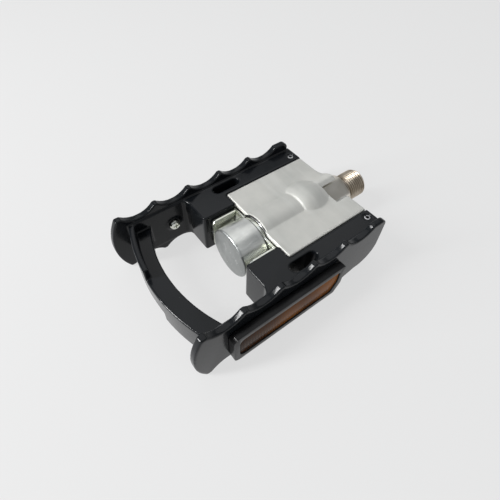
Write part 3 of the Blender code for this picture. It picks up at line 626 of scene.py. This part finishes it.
def make_spindle(material):
    """One grid of rings along the axis: journal, shoulder with two wrench flats, relief and thread."""
    crank_end = spindle_high.x
    root_r = THREAD_ROOT_R
    per_turn = 96
    plain = [
        (spindle_low.x, NUT_THREAD_R - NUT_THREAD_CHAMFER),
        (spindle_low.x + NUT_THREAD_CHAMFER, NUT_THREAD_R),
        (SPINDLE_NECK_X - 1.0, NUT_THREAD_R), (SPINDLE_NECK_X, SPINDLE_NECK_R),
        (-8.5, 5.0), (-6.6, JOURNAL_R), (FLATS_INNER_X, JOURNAL_R), (FLATS_INNER_X, SHOULDER_R - 0.4),
        (FLATS_INNER_X + 0.4, SHOULDER_R), (SHOULDER_X - 0.35, SHOULDER_R), (SHOULDER_X, SHOULDER_R - 0.35),
        (SHOULDER_X, root_r + 0.2), (SHOULDER_X + 0.2, root_r), (SHOULDER_X + 1.3, root_r),
    ]
    thread_start = SHOULDER_X + 1.4
    count = int((crank_end - thread_start) / THREAD_PITCH * RINGS_PER_PITCH)
    thread_x = [thread_start + (crank_end - thread_start) * i / count for i in range(count + 1)]

    def flats(radius, turn):
        face = abs(math.sin(turn - FLATS_TURN))
        return min(radius, FLATS_HALF / max(face, 0.001))

    def plain_radius(x, radius, turn):
        on_flats = FLATS_INNER_X <= x <= SHOULDER_X and radius > FLATS_HALF
        return flats(radius, turn) if on_flats else radius

    def thread_radius(x, turn):
        rise = min(1.0, (x - thread_start) / THREAD_PITCH)
        limit = THREAD_R - max(0.0, x - crank_end + 1.0)
        return min(limit, root_r + (THREAD_R - root_r) * thread_height(x, turn) * rise)

    def fill(work):
        turns = [2.0 * math.pi * i / per_turn for i in range(per_turn)]
        sections = [(x, [plain_radius(x, radius, turn) for turn in turns]) for x, radius in plain]
        sections += [(x, [thread_radius(x, turn) for turn in turns]) for x in thread_x]
        rings = []
        for x, radii in sections:
            places = [(x, r * math.cos(turn), r * math.sin(turn)) for r, turn in zip(radii, turns)]
            rings.append([work.verts.new(place) for place in places])
        skin_over(work, rings)

    spindle = smooth(mesh_object(fill), 32.0)
    finished(spindle, "turned_spindle", "spindle", "spindle_steel", material, "spindle")


# Hub ---------------------------------------------------------------------------------------------

def bulged_end(x, half_height, bulge, steps):
    """An end face that stands out by bulge at mid height, from its lower edge to its upper edge."""
    radius = (half_height**2 + bulge**2) / (2.0 * bulge)
    spread = math.degrees(math.asin(half_height / radius))
    return arc((x + bulge - radius, 0.0), radius, -spread, spread, steps)


def lock_room():
    """The space round the hub's neck where the lock plate, its lugs and its spring move."""
    half_y = TAB_Y[1] + ROOM_GAP
    half_z = TAB_HALF_Z + ROOM_GAP
    room = box((-BEYOND, POCKET_FLOOR_X), (-half_y, half_y), (-half_z, half_z))
    disc_length = BEYOND
    disc_middle = (POCKET_FLOOR_X - 0.1 - disc_length / 2.0, 0.0, 0.0)
    join(room, cylinder(disc_middle, "X", PLATE_DISC_R + ROOM_GAP, disc_length))
    for _, side in SIDES:
        lug_y = (side * TAB_Y[0], side * (slider_high.y + ROOM_GAP))
        lug_z = LUG_HALF_Z + ROOM_GAP
        join(room, box((-1.0 - BEYOND, LUG_ROOM_X), sorted(lug_y), (-lug_z, lug_z)))
    spring_middle = (SPRING_ROOM_X - BEYOND / 2.0, 0.0, 0.0)
    join(room, cylinder(spring_middle, "X", SPRING_ROOM_R, BEYOND, segments=72))
    return cut(room, cylinder((-50.0, 0.0, 0.0), "X", NECK_R, 2.0 * BEYOND))


def hub_window(side):
    """An opening through the nose and the deck beside it, with a floor parallel to the wrench flats."""
    window = box((WINDOW_INNER_X, BEYOND), (-BEYOND, BEYOND), sorted((side * WINDOW_DEPTH_Z, side * BEYOND)))
    window.data.transform(Matrix.Rotation(FLATS_TURN, 4, "X"))
    strip = box(
        (WINDOW_INNER_X - 1.0, BEYOND + 1.0), (-WINDOW_HALF_Y, WINDOW_HALF_Y), (-2.0 * BEYOND, 2.0 * BEYOND)
    )
    return combine(window, "INTERSECT", [strip])


def make_hub(material):
    tilt = math.degrees(math.asin(DECK_Z / HUB_OUTER_R))
    outer = arc((0.0, 0.0), HUB_OUTER_R, 180.0 - tilt, 180.0 + tilt, 12)
    side_outline = bulged_end(HUB_CRANK_X, DECK_Z, CRANK_BULGE, 16) + outer
    hub = slab(side_outline, -HUB_HALF_WIDTH, HUB_HALF_WIDTH, "XZ")
    plan = rounded([
        (HUB_CRANK_X + CRANK_BULGE + 1.0, -HUB_HALF_WIDTH - 1.0),
        (HUB_CRANK_X + CRANK_BULGE + 1.0, HUB_HALF_WIDTH + 1.0),
        (-30.0, HUB_HALF_WIDTH + 1.0),
        (-30.0, HUB_HALF_WIDTH),
        (-HUB_OUTER_R, HUB_HALF_WIDTH, HUB_CORNER_R),
        (-HUB_OUTER_R, -HUB_HALF_WIDTH, HUB_CORNER_R),
        (-30.0, -HUB_HALF_WIDTH),
        (-30.0, -HUB_HALF_WIDTH - 1.0),
    ], steps=8)
    combine(hub, "INTERSECT", [slab(plan, -20.0, 20.0, "XY")])
    barrel = [
        (STEP_X + 2.0, 0.0), (STEP_X + 2.0, BARREL_R), (BARREL_OUTER_X + 0.9, BARREL_R),
        (BARREL_OUTER_X, BARREL_R - 0.9), (BARREL_OUTER_X, 0.0),
    ]
    crest = arc((DOME_CENTRE_X, 0.0), DOME_R, 40.0, 90.0, 16)
    crown = arc((DOME_CENTRE_X, DOME_R - CROWN_R), CROWN_R, 90.0, 90.0 + CROWN_TURN, 8)[1:]
    dome = [(crest[0][0], 0.0)] + crest + crown + [(crown[-1][0], 0.0)]
    neck_middle = (hub_low.x + NECK_LENGTH / 2.0, 0.0, 0.0)
    nose = [
        (DOME_CENTRE_X, 0.0), (DOME_CENTRE_X, NOSE_R), (NOSE_END_X - 0.4, NOSE_R),
        (NOSE_END_X, NOSE_R - 0.4), (NOSE_END_X, 0.0),
    ]
    fillet = arc((HUB_CRANK_X + 3.2, NOSE_R + FLARE_R), FLARE_R, 180.0, 270.0, 8)
    flare = turned([(0.0, 0.0), (0.0, NOSE_R + FLARE_R)] + fillet + [(fillet[-1][0], 0.0)], segments=84)
    combine(flare, "INTERSECT", [box((-1.0, 9.0), (-BEYOND, BEYOND), (0.05 - DECK_Z, DECK_Z - 0.05))])
    join(hub, turned(barrel), turned(dome, segments=90), turned(nose, segments=78), flare)
    join(hub, cylinder(neck_middle, "X", NECK_R + NECK_STOCK, NECK_LENGTH))
    bore = [
        (BEYOND, 0.0), (BEYOND, SEAL_BORE_R), (INNER_SEAT_X, SEAL_BORE_R), (INNER_SEAT_X, THROUGH_BORE_R),
        (OUTER_SEAT_X, THROUGH_BORE_R), (OUTER_SEAT_X, NECK_BORE_R), (-BEYOND, NECK_BORE_R), (-BEYOND, 0.0),
    ]
    cut(hub, hub_window(1.0), hub_window(-1.0), lock_room(), turned(bore, segments=84))
    for _, side in SIDES:
        bore_middle = (0.0, side * (HUB_HALF_WIDTH + 1.0), 0.0)
        cut(hub, cylinder(bore_middle, "Y", HINGE_BORE_R, 2.0 * HINGE_BORE_REACH))
    cast(hub, 0.34, 6, 0.45)
    finished(hub, "hub_casting", "hub", "hub_aluminium", material, "hub_body")


def make_cap(material):
    """The turned dust cap over the hub's neck, open towards the crank."""
    face_x, mouth_x = cap_low.x, cap_high.x
    profile = rounded([
        (face_x + CAP_FACE_T, 0.0), (face_x + CAP_FACE_T, CAP_INSIDE_R), (CAP_LEDGE_X, CAP_INSIDE_R),
        (CAP_LEDGE_X, CAP_BORE_R), (mouth_x, CAP_BORE_R, 0.25),
        (mouth_x, CAP_R, 0.4), (face_x, CAP_R, 0.8), (face_x, 0.0),
    ], closed=False, steps=6)
    cap = smooth(turned(profile, segments=128), 30.0)
    finished(cap, "turned_dust_cap", "hub", "cap_aluminium", material, "dust_cap")


# Lock slider -------------------------------------------------------------------------------------

def make_lock_slider(material):
    rise = math.degrees(math.asin(PLATE_HALF_Z / PLATE_DISC_R))
    half_y = TAB_Y[1]
    outline = (
        [(half_y, -TAB_HALF_Z), (half_y, TAB_HALF_Z)]
        + arc((0.0, 0.0), PLATE_DISC_R, rise, 180.0 - rise, 24)
        + [(-half_y, TAB_HALF_Z), (-half_y, -TAB_HALF_Z)]
        + arc((0.0, 0.0), PLATE_DISC_R, 180.0 + rise, 360.0 - rise, 24)
    )
    slider = slab(outline, PLATE_X[0], PLATE_X[1], "YZ")
    cut(slider, cylinder((-43.0, 0.0, 0.0), "X", NECK_R + GAP, 10.0, segments=96))
    for _, side in SIDES:
        tab = rounded([
            (PLATE_X[1] - 0.4, -TAB_HALF_Z), (PLATE_X[1] - 0.4, TAB_HALF_Z),
            (slider_low.x, TAB_HALF_Z, 2.2), (slider_low.x, -TAB_HALF_Z, 2.2),
        ], steps=6)
        tab_solid = slab(tab, side * TAB_Y[0], side * TAB_Y[1], "XZ")
        lug_y = sorted((side * LUG_ROOT_Y, side * slider_high.y))
        join(slider, tab_solid, box(LUG_X, lug_y, (-LUG_HALF_Z, LUG_HALF_Z)))
    shape_of(slider, 0.22, 2)
    finished(slider, "zinc_lock_slider", "lock_slider", "zinc", material, "lock_slider")


def make_lock_spring(material):
    """A compression spring whose end turns lie flat, made as one fixed coil; the real spring shortens as the
    slider moves.
    """
    per_turn, around = 48, 10
    count = SPRING_TURNS * per_turn
    low_x, high_x = spring_low.x + SPRING_WIRE_R, spring_high.x - SPRING_WIRE_R

    def fill(work):
        rings = []
        for i in range(count + 1):
            turns = SPRING_TURNS * i / count
            rise = min(1.0, max(0.0, (turns - 0.75) / (SPRING_TURNS - 1.5)))
            x = low_x + (high_x - low_x) * rise
            turn = 2.0 * math.pi * turns
            ring = []
            for j in range(around):
                lean = 2.0 * math.pi * j / around
                r = SPRING_R + SPRING_WIRE_R * math.cos(lean)
                place = (x + SPRING_WIRE_R * math.sin(lean), r * math.cos(turn), r * math.sin(turn))
                ring.append(work.verts.new(place))
            rings.append(ring)
        skin_over(work, rings)

    spring = smooth(mesh_object(fill), 50.0)
    finished(spring, "coiled_lock_spring", "hub", "spring_steel", material, "lock_spring")
    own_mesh(spring)


# Cage --------------------------------------------------------------------------------------------

def tooth_edge(first_tip, last_tip, steps=14):
    """The scalloped edge over a run of teeth, from the crank end outwards, at +Z."""
    half_chord = (TOOTH_PITCH - TIP_FLAT) / 2.0
    radius = (half_chord**2 + TOOTH_DEPTH**2) / (2.0 * TOOTH_DEPTH)
    spread = math.degrees(math.asin(half_chord / radius))
    centre_z = TIP_Z - TOOTH_DEPTH + radius
    points = []
    for tooth in range(first_tip, last_tip):
        centre_x = FIRST_TIP_X - TOOTH_PITCH * (tooth + 0.5)
        points += arc((centre_x, centre_z), radius, 270.0 + spread, 270.0 - spread, steps)
    return points


def wall_outline():
    """One side wall from the side: teeth above and below, a round outer horn and a cut lower corner."""
    corner_r = 3.0
    top = arc((WALL_CRANK_X - corner_r, TIP_Z - corner_r), corner_r, 0.0, 90.0, 8)
    top += tooth_edge(0, TOOTH_COUNT - 1)
    last_tip_x = FIRST_TIP_X - TOOTH_PITCH * (TOOTH_COUNT - 1) - TIP_FLAT
    horn_rise = last_tip_x - cage_low.x
    horn_r = (TIP_Z**2 + horn_rise**2) / (2.0 * horn_rise)
    horn_spread = math.degrees(math.asin(TIP_Z / horn_r))
    horn = arc((cage_low.x + horn_r, 0.0), horn_r, 180.0 - horn_spread, 180.0 + horn_spread, 24)
    bottom = [(x, -z) for x, z in reversed(tooth_edge(1, TOOTH_COUNT - 1))]
    lower_corner = arc((WALL_CRANK_X - LOWER_CORNER_R, -0.5), LOWER_CORNER_R, 265.0, 360.0, 16)
    return top + horn + bottom + lower_corner


def arm(side):
    """The arm, ear and rail of one side."""
    outer_y = WALL_INNER_Y + 1.2
    outline = rounded([
        (8.0, ARM_INNER_Y), (8.0, outer_y), (RAIL_END_X, outer_y), (RAIL_END_X, RAIL_INNER_Y),
        (EAR_OUTER_X - 1.2, RAIL_INNER_Y, 2.0), (EAR_OUTER_X, EAR_SHOULDER_Y, 1.0),
        (EAR_OUTER_X, EAR_INNER_Y, 1.0), (-42.0, EAR_INNER_Y), (-42.0, ARM_INNER_Y),
    ])
    return slab([(x, side * y) for x, y in outline], -DECK_Z - 2.0, DECK_Z + 2.0, "XY")


def bar_arc(x_at_middle, radius, y_start, y_end, steps):
    """Points of an arc across the end bar, which bows outwards and is centred on the spindle's axis."""
    start = 180.0 - math.degrees(math.asin(y_start / radius))
    end = 180.0 - math.degrees(math.asin(y_end / radius))
    return arc((x_at_middle + radius, 0.0), radius, start, end, steps)


def end_bar():
    reach = WALL_INNER_Y + 1.2
    outline = bar_arc(BAR_OUTER_X, BAR_OUTER_R, reach, -reach, 40)
    outline += bar_arc(BAR_INNER_X, BAR_INNER_R, -reach, reach, 36)
    return slab(outline, -BAR_HALF_Z, BAR_HALF_Z, "XY")


def end_rim(side):
    """The lip on the outer half of the bar: above it on one side and below it on the other."""
    reach = WALL_INNER_Y + 1.2
    outer = bar_arc(BAR_OUTER_X, BAR_OUTER_R, side * RIM_START_Y, side * reach, 20)
    inner = bar_arc(BAR_OUTER_X + RIM_T, BAR_OUTER_R - RIM_T, side * reach, side * RIM_START_Y, 20)
    return slab(outer + inner, side * (BAR_HALF_Z - 1.0), side * DECK_Z, "XY")


def slot_outline(side):
    half_run = (SLOT_LENGTH - SLOT_WIDTH) / 2.0
    centre_y = side * SLOT_Y
    outline = arc((SLOT_X + half_run, centre_y), SLOT_WIDTH / 2.0, -90.0, 90.0, 14)
    return outline + arc((SLOT_X - half_run, centre_y), SLOT_WIDTH / 2.0, 90.0, 270.0, 14)


def make_cage(material):
    cage = join(arm(-1.0), arm(1.0))
    band = bulged_end(ARM_CRANK_X, DECK_Z, CRANK_BULGE, 16)
    band += [(-BEYOND * 2.0, DECK_Z), (-BEYOND * 2.0, -DECK_Z)]
    combine(cage, "INTERSECT", [slab(band, -BEYOND, BEYOND, "XZ")])
    cut(cage, cylinder((0.0, 0.0, 0.0), "Y", EAR_ARC_R, 2.0 * ARM_INNER_Y + 0.04, segments=160))
    join(cage, end_bar())
    for _, side in SIDES:
        wall = slab(wall_outline(), side * WALL_INNER_Y, side * WALL_OUTER_Y, "XZ")
        boss = cylinder((SCREW_X[0], side * (BOSS_Y + 1.0), 0.0), "Y", BOSS_R, 2.0, segments=44)
        join(cage, wall, boss)
        join(cage, end_rim(side))
    for _, side in SIDES:
        lug_y = (side * TAB_Y[0], side * (slider_high.y + GAP))
        groove = box((LUG_X[0] - 2.0 * GAP, -40.0), (min(lug_y), max(lug_y)), (-15.0, LUG_HALF_Z + GAP))
        bore_middle = (0.0, side * PIN_BORE_MIDDLE_Y, 0.0)
        pin_bore = cylinder(bore_middle, "Y", PIN_BORE_R, PIN_BORE_LENGTH, segments=38)
        washer_middle = (0.0, side * (WASHER_FLOOR_Y - 2.0), 0.0)
        washer_room = cylinder(washer_middle, "Y", WASHER_R + GAP, 4.0, segments=58)
        roll_y = (pin_low.y + pin_high.y) / 2.0
        roll_room = cylinder((0.0, side * roll_y, 0.0), "Z", pin_high.y - roll_y + GAP, 30.0, segments=34)
        cut(cage, slab(slot_outline(side), -20.0, 20.0, "XY"), groove, pin_bore, washer_room, roll_room)
        for screw_x in SCREW_X:
            cut(cage, cylinder((screw_x, side * 33.0, 0.0), "Y", SCREW_R + GAP, 9.0, segments=30))
    cast(cage, 0.36, 6, 0.45)
    finished(cage, "cage_casting", "cage", "cage_black", material, "cage")


# Reflectors and small pieces ---------------------------------------------------------------------

def reflector_outline(inset):
    """A reflector from the side; it hangs lower than the deck, and its crank end is cut below."""
    low_x, high_x = housing_low.x + inset, housing_high.x - inset
    low_z, high_z = housing_low.z + inset, housing_high.z - inset
    cut_size = 3.0
    return rounded([
        (low_x, low_z, 3.0), (high_x - cut_size, low_z, 1.0), (high_x, low_z + 2.0 * cut_size, 1.0),
        (high_x, high_z, 1.2), (low_x, high_z, 2.6),
    ], steps=5)


def make_reflectors(plastic, amber):
    back_y, face_y = -housing_high.y, -housing_low.y
    seat_y = -lens_high.y - GAP
    inset = lens_low.x - housing_low.x
    for label, side in SIDES:
        housing = slab(reflector_outline(0.0), side * back_y, side * face_y, "XZ")
        cut(housing, slab(reflector_outline(inset - GAP), side * seat_y, side * (face_y + 1.0), "XZ"))
        for screw_x in SCREW_X:
            middle_y = (back_y + screw_high.y) / 2.0
            cut(housing, cylinder((screw_x, side * middle_y, 0.0), "Y", SCREW_R + GAP, 2.6))
        shape_of(housing, 0.35, 3)
        name = f"reflector_housing_{label}"
        finished(housing, f"moulded_{name}", "cage", "housing_plastic", plastic, name)
        lens = slab(reflector_outline(inset), side * (seat_y + GAP), side * -lens_low.y, "XZ")
        shape_of(lens, 0.3, 2)
        name = f"reflector_lens_{label}"
        finished(lens, f"moulded_{name}", "cage", "amber_lens", amber, name)


def make_roll_pins(material):
    """Split spring pins: a rolled strip with a slot down one side."""
    middle_y = (pin_low.y + pin_high.y) / 2.0
    outer_r = pin_high.y - middle_y
    inner_r = outer_r - 0.55
    for label, side in SIDES:
        outer = arc((0.0, side * middle_y), outer_r, 105.0, 435.0, 28)
        inner = arc((0.0, side * middle_y), inner_r, 435.0, 105.0, 28)
        pin = slab(outer + inner, pin_low.z, pin_high.z, "XY")
        shape_of(pin, 0.1, 2)
        finished(pin, f"split_roll_pin_{label}", "cage", "spring_steel", material, f"roll_pin_{label}")


def make_screws(material):
    """Pan-head screws with a cross recess, driven from inside the cage."""
    head_y, tip_y = screw_low.y, screw_high.y
    head_r = screw_high.z
    for label, side in SIDES:
        for place, screw_x in zip(("outer", "inner"), SCREW_X):
            profile = [(tip_y, 0.0), (tip_y, SCREW_R - 0.3), (tip_y - 0.3, SCREW_R)]
            profile += [(SCREW_SEAT_Y, SCREW_R), (SCREW_SEAT_Y, head_r), (head_y + 0.9, head_r)]
            profile += [(head_y + 0.35, head_r - 0.35), (head_y, head_r - 1.1), (head_y, 0.0)]
            profile = [(side * along, radius) for along, radius in profile]
            screw = turned(profile, segments=32, about="Y", centre=(screw_x, 0.0, 0.0))
            arm_half, arm_reach, depth = 0.34, 1.35, 0.9
            for reach_x, reach_z in ((arm_reach, arm_half), (arm_half, arm_reach)):
                y_ends = (side * (head_y - 1.0), side * (head_y + depth))
                groove = box(
                    (screw_x - reach_x, screw_x + reach_x), (min(y_ends), max(y_ends)), (-reach_z, reach_z)
                )
                cut(screw, groove)
            smooth(screw, 30.0)
            node = f"reflector_screw_{label}_{place}"
            finished(screw, f"pan_head_{node}", "cage", "zinc", material, node)


def dress_inner_nodes(finishes):
    """Gives the hidden CAD pieces their own materials."""
    for name, node in frame["nodes"].items():
        if node.hide_render:
            continue
        for words, material in finishes:
            if any(word in name for word in words):
                node.data.materials.clear()
                node.data.materials.append(material)


# Stage -------------------------------------------------------------------------------------------

def make_stage():
    floor_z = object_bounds()[0].z - 0.0002
    size = 3.0

    def fill(work):
        bmesh.ops.create_grid(work, x_segments=1, y_segments=1, size=size)
        bmesh.ops.translate(work, verts=work.verts, vec=(0.0, 0.0, floor_z))

    floor = mesh_object(fill)
    floor.name = "floor"
    material = bpy.data.materials.new("pale_floor")
    material.use_nodes = True
    shader = material.node_tree.nodes["Principled BSDF"]
    shader.inputs["Base Color"].default_value = (0.14, 0.14, 0.14, 1.0)
    shader.inputs["Roughness"].default_value = 0.9
    shader.inputs["Specular IOR Level"].default_value = 0.0
    shader.inputs["Emission Color"].default_value = (1.0, 1.0, 1.0, 1.0)
    shader.inputs["Emission Strength"].default_value = 0.65
    floor.data.materials.append(material)


def area_light(name, direction, distance, size, power, colour=(1.0, 1.0, 1.0)):
    """A soft box that looks at the object from a direction."""
    lamp = bpy.data.lights.new(name, "AREA")
    lamp.shape = "RECTANGLE"
    lamp.size, lamp.size_y = size
    lamp.energy = power
    lamp.color = colour
    made = bpy.data.objects.new(name, lamp)
    towards = Vector(direction).normalized()
    made.location = towards * distance
    made.rotation_euler = (-towards).to_track_quat("-Z", "Y").to_euler()
    bpy.context.scene.collection.objects.link(made)
    return made


def make_world():
    """A pale backdrop up to a little over the horizon, and a dimmer ceiling."""
    world = bpy.data.worlds.new("studio")
    world.use_nodes = True
    nodes, links = world.node_tree.nodes, world.node_tree.links
    split = nodes.new("ShaderNodeSeparateXYZ")
    links.new(nodes.new("ShaderNodeTexCoord").outputs["Generated"], split.inputs["Vector"])
    ramp = nodes.new("ShaderNodeValToRGB")
    (low, high) = ramp.color_ramp.elements
    low.position, low.color = 0.25, (0.80, 0.81, 0.83, 1.0)
    high.position, high.color = 0.50, (0.29, 0.30, 0.31, 1.0)
    links.new(split.outputs["Z"], ramp.inputs["Fac"])
    links.new(ramp.outputs["Color"], nodes["Background"].inputs["Color"])
    bpy.context.scene.world = world


def make_lights():
    area_light("top_box", (0.25, 0.35, 1.0), 0.9, (0.8, 0.8), 1.55)
    area_light("strip_box", (-0.83, 0.29, 0.47), 0.8, (0.10, 0.75), 10.0)


def make_camera():
    azimuth, elevation, roll = (math.radians(v) for v in (-38.66, 52.3, 1.91))
    right = Vector((math.cos(azimuth), math.sin(azimuth), 0.0))
    back = Vector((
        math.sin(azimuth) * math.cos(elevation),
        -math.cos(azimuth) * math.cos(elevation),
        math.sin(elevation),
    ))
    up = back.cross(right)
    turned_right = math.cos(roll) * right + math.sin(roll) * up
    turned_up = math.cos(roll) * up - math.sin(roll) * right
    camera = bpy.data.objects.new("camera", bpy.data.cameras.new("camera"))
    camera.data.sensor_width = 36.0
    camera.data.lens = 26.69
    camera.data.clip_start = 0.01
    place = Matrix((turned_right, turned_up, back)).transposed().to_4x4()
    place.translation = HINGE + Vector((-112.3, -83.3, 131.9)) * MM
    camera.matrix_world = place
    bpy.context.scene.collection.objects.link(camera)
    bpy.context.scene.camera = camera


black = black_paint()
zinc = zinc_plate()
spring_steel = bright_steel("bright_spring_steel", (0.62, 0.62, 0.63), 0.28)
bearing_steel = bright_steel("ground_bearing_steel", (0.66, 0.67, 0.69), 0.14)
bronze = bright_steel("sintered_bronze", (0.60, 0.42, 0.22), 0.45)
rubber = dull("black_rubber", (0.02, 0.02, 0.02), 0.7)
nylon = dull("white_nylon", (0.78, 0.77, 0.72), 0.5)

make_spindle(plated_steel())
make_hub(cast_aluminium())
make_cap(turned_aluminium())
make_lock_slider(zinc)
make_lock_spring(spring_steel)
make_cage(black)
make_reflectors(black_plastic(), amber_lens())
make_roll_pins(spring_steel)
make_screws(zinc)
dress_inner_nodes([
    (("ball", "cup", "cone", "hinge_pin"), bearing_steel),
    (("bush",), bronze),
    (("lock_nut", "tab_washer"), zinc),
    (("inner_seal",), rubber),
    (("thrust_washer",), nylon),
])
make_stage()
make_world()
make_lights()
make_camera()
bpy.context.scene.view_settings.view_transform = "Standard"
